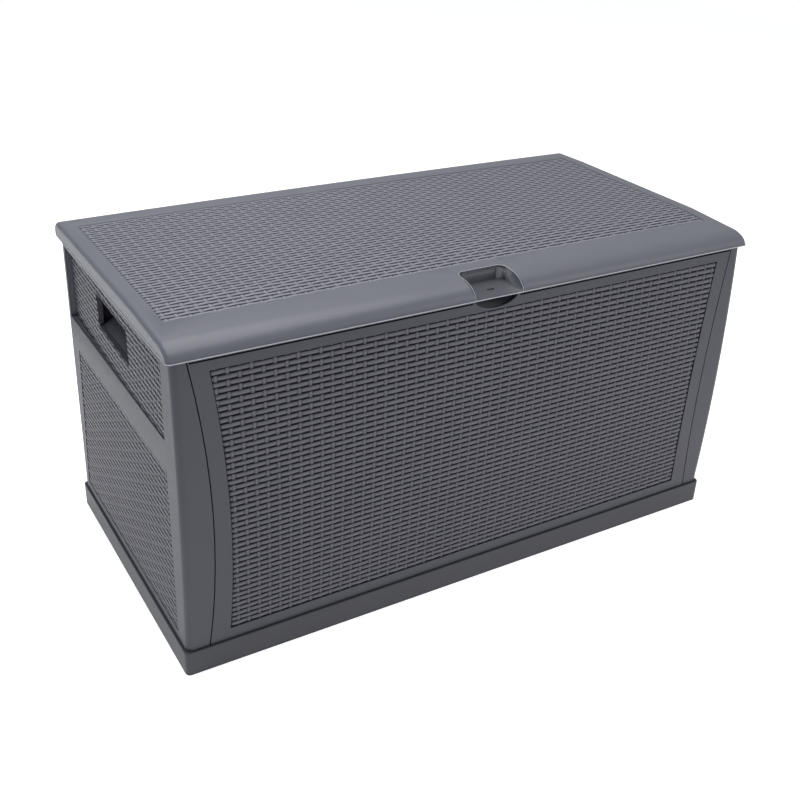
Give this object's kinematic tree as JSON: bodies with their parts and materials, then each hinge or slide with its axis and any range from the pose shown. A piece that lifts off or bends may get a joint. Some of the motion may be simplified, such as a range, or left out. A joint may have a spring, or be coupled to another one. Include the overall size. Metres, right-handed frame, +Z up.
{
  "type": "deck storage box",
  "caption": "Long rattan-look resin storage box with a bowed front, a base plinth, side hand-holds and a hinged lid with a finger notch at the front.",
  "frame": {"origin": "on the ground, under the middle of the box", "axes": "+Z up, +X along the length, the front faces -Y and the lid's hinge is at +Y"},
  "size_m": [1.2, 0.6131, 0.6358],
  "materials": {
    "panel_resin": "moulded rattan texture, satin",
    "plinth_resin": "smooth moulded, satin",
    "lid_resin": "moulded rattan texture with a smooth border, satin",
    "inner_resin": "plain moulded, matt",
    "zinc_steel": "zinc plated"
  },
  "bodies": {
    "box": {"base_plinth": "plinth_resin", "floor_panel": "inner_resin", "front_panel": "panel_resin", "back_panel": "panel_resin", "side_panel_left": "panel_resin", "side_panel_right": "panel_resin", "grip_pocket_left": "panel_resin", "grip_pocket_right": "panel_resin", "seam_strip_front_left": "inner_resin", "seam_strip_front_right": "inner_resin", "seam_strip_back_left": "inner_resin", "seam_strip_back_right": "inner_resin", "finger_cup": "inner_resin", "lock_plate": "zinc_steel", "hinge_knuckle_left": "inner_resin", "hinge_knuckle_right": "inner_resin", "panel_screw_front_left_1": "zinc_steel", "panel_screw_front_left_2": "zinc_steel", "panel_screw_front_left_3": "zinc_steel", "panel_screw_front_left_4": "zinc_steel", "panel_screw_front_right_1": "zinc_steel", "panel_screw_front_right_2": "zinc_steel", "panel_screw_front_right_3": "zinc_steel", "panel_screw_front_right_4": "zinc_steel", "panel_screw_back_left_1": "zinc_steel", "panel_screw_back_left_2": "zinc_steel", "panel_screw_back_left_3": "zinc_steel", "panel_screw_back_left_4": "zinc_steel", "panel_screw_back_right_1": "zinc_steel", "panel_screw_back_right_2": "zinc_steel", "panel_screw_back_right_3": "zinc_steel", "panel_screw_back_right_4": "zinc_steel", "hinge_screw_lower_left_1": "zinc_steel", "hinge_screw_lower_left_2": "zinc_steel", "hinge_screw_lower_right_1": "zinc_steel", "hinge_screw_lower_right_2": "zinc_steel"},
    "lid": {"lid_shell": "lid_resin", "lid_liner": "inner_resin", "lid_bracket_left": "inner_resin", "lid_bracket_right": "inner_resin", "hinge_pin_left": "zinc_steel", "hinge_pin_right": "zinc_steel", "hinge_screw_upper_left_1": "zinc_steel", "hinge_screw_upper_left_2": "zinc_steel", "hinge_screw_upper_right_1": "zinc_steel", "hinge_screw_upper_right_2": "zinc_steel"}
  },
  "joints": [
    {"name": "lid_hinge", "type": "hinge", "parent": "box", "child": "lid", "pos_m": [0, 0.28655, 0.612], "axis": [-1, 0, 0], "range_deg": [0, 100]}
  ]
}
